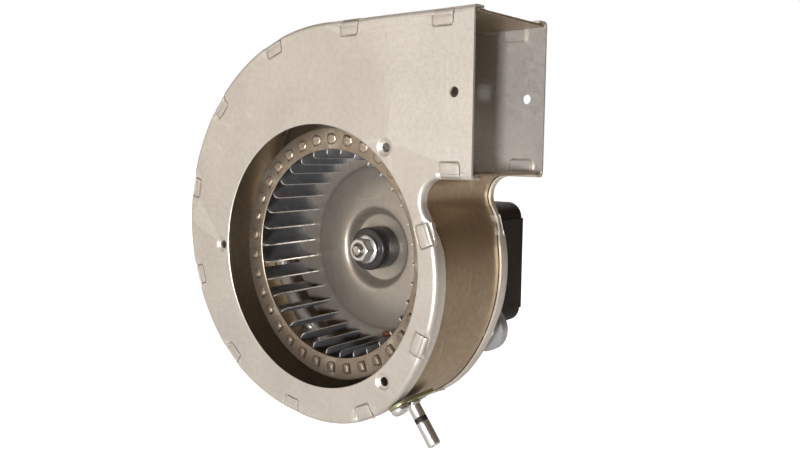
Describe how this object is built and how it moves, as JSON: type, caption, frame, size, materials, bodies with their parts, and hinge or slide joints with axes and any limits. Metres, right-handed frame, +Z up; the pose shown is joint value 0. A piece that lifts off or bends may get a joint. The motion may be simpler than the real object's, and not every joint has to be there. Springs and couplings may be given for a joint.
{
  "type": "combustion fan",
  "caption": "Boiler combustion fan: sheet-steel scroll casing with a rectangular outlet, a clinched forward-curved blower wheel, a pressure tapping and a shaded-pole motor on a cast bracket.",
  "frame": {"origin": "point where the shaft's axis crosses the outer face of the front plate, in the middle of the inlet", "axes": "-Y out of the inlet along the shaft's axis, +X out of the outlet, +Z up to the outlet's side"},
  "size_m": [0.1691, 0.1283, 0.1754],
  "materials": {
    "plate_steel": "satin aluminised sheet, finely mottled",
    "wrapper_steel": "satin aluminised sheet, drawn lines",
    "wheel_steel": "satin galvanised strip",
    "bright_zinc": "bright zinc plate",
    "yellow_zinc": "yellow zinc plate",
    "ground_steel": "ground",
    "cast_alloy": "as cast",
    "black_lacquer": "dipped black lacquer over laminations",
    "nylon": "moulded, natural",
    "copper": "copper",
    "bronze": "sintered bronze",
    "rubber": "moulded, matt"
  },
  "bodies": {
    "casing": {"front_plate": "plate_steel", "back_plate": "plate_steel", "scroll_wrapper": "wrapper_steel", "tapping_bracket": "yellow_zinc", "tapping_tube": "bright_zinc", "tapping_screw": "bright_zinc", "motor_spider": "cast_alloy", "rear_bracket": "cast_alloy", "stator_stack": "black_lacquer", "coil_bobbin": "nylon", "coil_winding": "copper", "front_bearing": "bronze", "rear_bearing": "bronze", "spider_screw_1": "bright_zinc", "spider_screw_2": "bright_zinc", "spider_screw_3": "bright_zinc", "motor_screw_1": "bright_zinc", "motor_screw_2": "bright_zinc"},
    "rotor": {"motor_shaft": "ground_steel", "rotor_core": "ground_steel", "cooling_fan": "nylon", "impeller_hub": "rubber", "impeller_disc": "wheel_steel", "front_ring": "wheel_steel", "hub_nut": "bright_zinc", "balance_clip": "copper", "blade_01": "wheel_steel", "blade_02": "wheel_steel", "blade_03": "wheel_steel", "blade_04": "wheel_steel", "blade_05": "wheel_steel", "blade_06": "wheel_steel", "blade_07": "wheel_steel", "blade_08": "wheel_steel", "blade_09": "wheel_steel", "blade_10": "wheel_steel", "blade_11": "wheel_steel", "blade_12": "wheel_steel", "blade_13": "wheel_steel", "blade_14": "wheel_steel", "blade_15": "wheel_steel", "blade_16": "wheel_steel", "blade_17": "wheel_steel", "blade_18": "wheel_steel", "blade_19": "wheel_steel", "blade_20": "wheel_steel", "blade_21": "wheel_steel", "blade_22": "wheel_steel", "blade_23": "wheel_steel", "blade_24": "wheel_steel", "blade_25": "wheel_steel", "blade_26": "wheel_steel", "blade_27": "wheel_steel", "blade_28": "wheel_steel", "blade_29": "wheel_steel", "blade_30": "wheel_steel", "blade_31": "wheel_steel", "blade_32": "wheel_steel", "blade_33": "wheel_steel", "blade_34": "wheel_steel"}
  },
  "joints": [
    {"name": "impeller_spin", "type": "hinge", "parent": "casing", "child": "rotor", "pos_m": [0, 0, 0], "axis": [0, 1, 0], "continuous": true}
  ]
}
